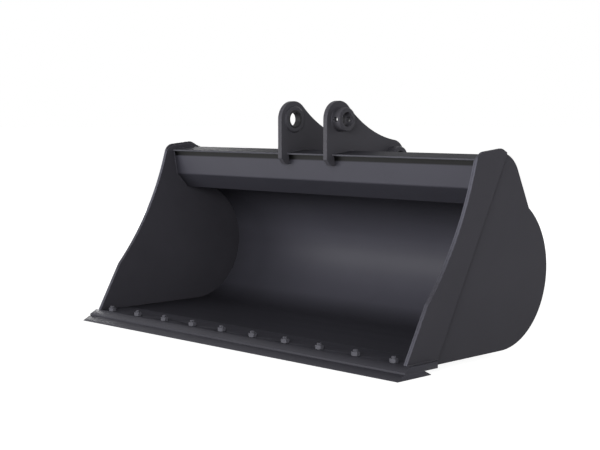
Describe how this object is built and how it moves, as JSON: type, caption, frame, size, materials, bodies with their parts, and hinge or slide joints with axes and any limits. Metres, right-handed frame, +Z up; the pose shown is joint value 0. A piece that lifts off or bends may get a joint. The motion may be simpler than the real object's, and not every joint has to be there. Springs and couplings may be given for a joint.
{
  "type": "excavator ditching bucket",
  "caption": "Wide shallow excavator bucket with a bolt-on cutting edge, rolled shell, torque tube and twin pin hangers.",
  "frame": {"origin": "on the ground under the middle of the bucket's bounding box", "axes": "+X across the width, to the right seen from the open front; +Y to the back, the open front and its cutting edge face -Y; +Z up"},
  "size_m": [1.53, 0.7834, 0.807],
  "materials": {
    "body_paint": "satin charcoal paint on rolled and folded plate",
    "cutter_paint": "satin charcoal paint on flame-cut plate",
    "edge_paint": "satin charcoal paint on machined edge bar",
    "hanger_paint": "satin charcoal paint on thick flame-cut plate and turned bosses",
    "bush_steel": "dull hardened steel, bored smooth",
    "fastener_steel": "thin charcoal paint over black bolts and nuts"
  },
  "bodies": {
    "bucket": {"shell_wrapper": "body_paint", "side_plate_left": "body_paint", "side_plate_right": "body_paint", "side_cutter_left": "cutter_paint", "side_cutter_right": "cutter_paint", "lip_plate": "edge_paint", "tube_top_plate": "body_paint", "tube_front_plate": "body_paint", "tube_rib_left": "body_paint", "tube_rib_right": "body_paint", "hanger_left": "hanger_paint", "hanger_right": "hanger_paint", "dipper_bush_left": "bush_steel", "dipper_bush_right": "bush_steel", "link_bush_left": "bush_steel", "link_bush_right": "bush_steel", "dipper_ring_left": "hanger_paint", "dipper_ring_right": "hanger_paint", "link_ring_left": "hanger_paint", "link_ring_right": "hanger_paint", "dipper_lock_collar": "hanger_paint", "link_lock_collar": "hanger_paint"},
    "cutting_edge": {"bolt_on_edge": "edge_paint", "edge_bolts": "fastener_steel"},
    "nuts": {"edge_nuts": "fastener_steel"}
  },
  "joints": [
    {"name": "edge_off", "type": "slide", "parent": "bucket", "child": "cutting_edge", "axis": [0, 0, -1], "range_m": [0, 0.05]},
    {"name": "nuts_off", "type": "slide", "parent": "bucket", "child": "nuts", "axis": [0, 0, 1], "range_m": [0, 0.03]}
  ]
}
